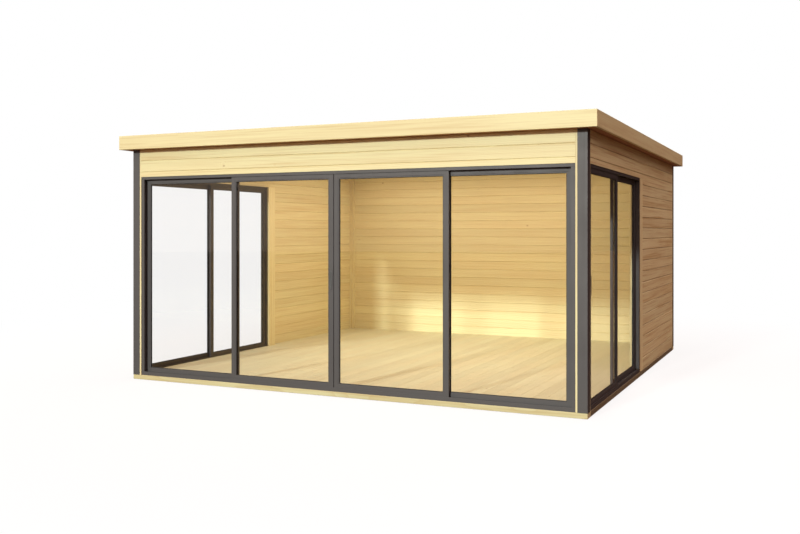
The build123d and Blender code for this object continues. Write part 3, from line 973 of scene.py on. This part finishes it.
class POD_OT_leaves(bpy.types.Operator):
    """Models the door leaves' frames with their glazing beads and gaskets"""

    bl_idname = "pod.leaves"
    bl_label = "Door leaves"

    def execute(self, context):
        metal, glass = context.scene.pod_metal, context.scene.pod_glass
        pane_low, pane_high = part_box("front_left_door_glass")
        half_pane = (pane_high.y - pane_low.y) / 2
        half_groove = half_pane + GLASS_PLAY
        middle = LEAF_THICKNESS / 2
        stile = pane_low.x - LEAF_LOW.x + glass.edge_cover
        sight_up = (pane_low.z + glass.edge_cover, pane_high.z - glass.edge_cover)

        # Half of the leaf's section, from its outer face to the groove that holds the pane.
        bead = 1 - metal.bead_width / stile
        groove = 1 - (glass.edge_cover + GROOVE_SPARE) / stile
        outer_half = [
            (0, 0), (bead, 0), (bead, metal.bead_step), (1, metal.bead_step),
            (1, middle - half_groove), (groove, middle - half_groove),
        ]
        section = outer_half + [(share, LEAF_THICKNESS - depth) for share, depth in reversed(outer_half)]

        frames, gaskets = {}, {}
        for name, side, start, width, face in leaf_places():
            outer = ((start, start + width), (LEAF_LOW.z, LEAF_HIGH.z))
            sight = ((start + stile, start + width - stile), sight_up)
            inner = [(low + glass.gasket, high - glass.gasket) for low, high in sight]
            ring = mitred_ring(side, outer, sight, [(share, face + depth) for share, depth in section])
            frames.setdefault(name, []).append(soften(ring, metal.edge))
            for outward in (-1, 1):
                pane_face = face + middle + outward * half_pane
                wedge = [(share, pane_face + outward * rise) for share, rise in GASKET_WEDGE]
                gaskets.setdefault(name, []).append(mitred_ring(side, sight, inner, wedge))
        for name in frames:
            fixed = name.endswith("fixed")
            body = "root" if fixed else name
            node = f"{name}_frames" if fixed else f"{name}_frame"
            finish(frames[name], f"{name}_leaf_frame", COAT, [node], body, smooth=PROFILE_SMOOTH)
            finish(gaskets[name], f"{name}_gaskets", RUBBER, body=body, smooth=PROFILE_SMOOTH)
        return {"FINISHED"}


class POD_OT_fittings(bpy.types.Operator):
    """Gives the panes, pulls and meeting strip their finishes"""

    bl_idname = "pod.fittings"
    bl_label = "Glass and fittings"

    def execute(self, context):
        looks = {"glass": "clear_pane", "pull_metal": "satin_pull", "anthracite": COAT}
        for name, node in frame["nodes"].items():
            if not node.hide_render:
                node.data.materials.clear()
                node.data.materials.append(material(looks[SLOTS[name]]))
        return {"FINISHED"}


# ---------- the studio
WHITE = (1.0, 1.0, 1.0)
FLOOR_COLOUR = (0.9, 0.9, 0.9)
FLOOR_RADIUS = 60.0
FLOOR_DROP = 0.002                     # how far the floor lies under the bearers
# The distances from the pod's middle and the shares of white between which the floor fades.
FADE = ((2.5, 8.0), (0.82, 1.0))
# Each glow's direction, and the cosines of the angles from it where it starts and is at its full.
FRONT_GLOW = ((-0.55, -0.8, 0.25), 0.1, 0.9)
LEFT_GLOW = ((-1.0, 0.15, 0.35), 0.3, 0.95)
TOP_GLOW = ((0.5, -0.1, 1.0), 0.62, 1.0)
# Each sun's height and turn in degrees, and its colour.
KEY = (17.6, -9.6, (0.88, 1.0, 0.95))
BACK = (25.0, 172.0, (1.0, 0.94, 0.87))
BACK_SOFTNESS = math.radians(30)
PANEL_MARGIN, PANEL_LIFT = 0.3, 0.01   # inside the posts and over the walls' top
PANEL_COLOUR = (1.0, 0.87, 0.75)
CAMERA_PLACE = (4.023, -9.484, 1.516)
CAMERA_TURN = math.radians(25.1)
CAMERA_SHIFT = -0.0453


class POD_OT_stage(bpy.types.Operator):
    """Sets up the pale floor, the soft light and the camera"""

    bl_idname = "pod.stage"
    bl_label = "Studio"

    def floor(self, settings):
        """A broad pale floor that fades into the white all round."""
        let_go()
        bpy.ops.mesh.primitive_circle_add(
            vertices=96, radius=FLOOR_RADIUS, fill_type="NGON", location=(0, 0, -FLOOR_DROP)
        )
        ground = bpy.context.object
        ground.name = "studio_floor"
        tree = new_tree("studio_floor")
        distances, shares = FADE
        away = tree.add("VectorMath", {0: tree.place()}, operation="LENGTH")["Value"]
        matt = tree.add("BsdfDiffuse", {"Color": rgba(FLOOR_COLOUR)})
        white = tree.add("Emission", {"Color": rgba(WHITE), "Strength": 1.0})
        bounce = tree.add("BsdfDiffuse", {"Color": rgba(settings.bounce)})
        seen = tree.add("LightPath")["Is Camera Ray"]
        shown = tree.mix_shaders(tree.ramp(away, *distances, *shares), matt, white)
        tree.add("OutputMaterial", {"Surface": tree.mix_shaders(seen, bounce, shown)[0]})
        ground.data.materials.append(tree.owner)

    def surround(self, settings):
        """White behind the pod, and a soft light that is strong from the front left and from above."""
        world = bpy.data.worlds.new("studio")
        bpy.context.scene.world = world
        tree = ShaderTree(world)
        away = tree.add("TexCoord")["Generated"]
        towards = tree.add("VectorMath", {0: away}, operation="NORMALIZE")[0]

        def glow(direction, start, full, power):
            aim = tuple(Vector(direction).normalized())
            facing = tree.add("VectorMath", {0: towards, 1: aim}, operation="DOT_PRODUCT")["Value"]
            return tree.times(tree.ramp(facing, start, full), power)

        def light(tone, power):
            return tree.add("Background", {"Color": rgba(tone), "Strength": power})

        around = tree.plus(glow(*FRONT_GLOW, settings.front), glow(*LEFT_GLOW, settings.left))
        soft = light(settings.glow, around)
        dome = light(settings.overhead, glow(*TOP_GLOW, settings.above))
        base = light(settings.shade, settings.fill)
        warm = tree.add("AddShader", {0: dome[0], 1: base[0]})
        lit = tree.add("AddShader", {0: soft[0], 1: warm[0]})
        seen = tree.add("LightPath")["Is Camera Ray"]
        both = tree.mix_shaders(seen, lit, light(WHITE, 1.0))
        tree.add("OutputWorld", {"Surface": both[0]})

    def sun(self, name, power, softness, height, turn, tone):
        let_go()
        tilt = math.radians(90 - height)
        bpy.ops.object.light_add(type="SUN", rotation=(tilt, 0, math.radians(turn)))
        sun = bpy.context.object
        sun.name = name
        sun.data.energy = power
        sun.data.angle = softness
        sun.data.color = tone
        return sun

    def panel(self, settings):
        """A soft panel of light under the roof boards, which brightens the room."""
        let_go()
        bpy.ops.object.light_add(type="AREA", location=(0, 0, WALL_HIGH.z + PANEL_LIFT))
        panel = bpy.context.object
        panel.name = "room_light"
        panel.data.shape = "SQUARE"
        panel.data.size = 2 * (INNER_POST - PANEL_MARGIN)
        panel.data.energy = settings.room
        panel.data.color = PANEL_COLOUR
        panel.visible_camera = False
        panel.visible_glossy = False

    def camera(self, settings):
        let_go()
        bpy.ops.object.camera_add(location=CAMERA_PLACE, rotation=(math.radians(90), 0, CAMERA_TURN))
        camera = bpy.context.object
        camera.data.lens = settings.lens
        camera.data.shift_y = CAMERA_SHIFT
        bpy.context.scene.camera = camera

    def execute(self, context):
        settings = context.scene.pod_stage
        self.floor(settings)
        self.surround(settings)
        self.sun("key_light", settings.sun, settings.softness, *KEY)
        # The light on the rear wall is weak and very soft, and the metal and glass don't mirror it.
        back = self.sun("back_light", settings.back, BACK_SOFTNESS, *BACK)
        back.visible_glossy = False
        self.panel(settings)
        self.camera(settings)
        context.scene.view_settings.view_transform = "Standard"
        return {"FINISHED"}


class POD_PT_panel(bpy.types.Panel):
    """Lists the pod's pieces in the order in which they are built"""

    bl_label = "Garden office pod"
    bl_idname = "POD_PT_panel"
    bl_space_type = "VIEW_3D"
    bl_region_type = "UI"
    bl_category = "Pod"

    def draw(self, context):
        for operator in OPERATORS:
            self.layout.operator(operator.bl_idname)


SETTINGS = {
    "pod_timber": TimberSettings,
    "pod_metal": MetalSettings,
    "pod_glass": GlassSettings,
    "pod_stage": StageSettings,
}
OPERATORS = (
    POD_OT_log_walls,
    POD_OT_posts,
    POD_OT_post_covers,
    POD_OT_base,
    POD_OT_floor,
    POD_OT_roof,
    POD_OT_door_frames,
    POD_OT_leaves,
    POD_OT_fittings,
    POD_OT_stage,
)


def register():
    for name, settings in SETTINGS.items():
        bpy.utils.register_class(settings)
        setattr(bpy.types.Scene, name, PointerProperty(type=settings))
    for operator in OPERATORS:
        bpy.utils.register_class(operator)
    bpy.utils.register_class(POD_PT_panel)


def unregister():
    bpy.utils.unregister_class(POD_PT_panel)
    for operator in reversed(OPERATORS):
        bpy.utils.unregister_class(operator)
    for name, settings in SETTINGS.items():
        delattr(bpy.types.Scene, name)
        bpy.utils.unregister_class(settings)


def main():
    """Builds the pod piece by piece."""
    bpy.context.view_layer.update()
    register()
    bpy.ops.pod.log_walls()
    bpy.ops.pod.posts()
    bpy.ops.pod.post_covers()
    bpy.ops.pod.base()
    bpy.ops.pod.floor()
    bpy.ops.pod.roof()
    bpy.ops.pod.door_frames()
    bpy.ops.pod.leaves()
    bpy.ops.pod.fittings()
    bpy.ops.pod.stage()


if __name__ == "__main__":
    main()
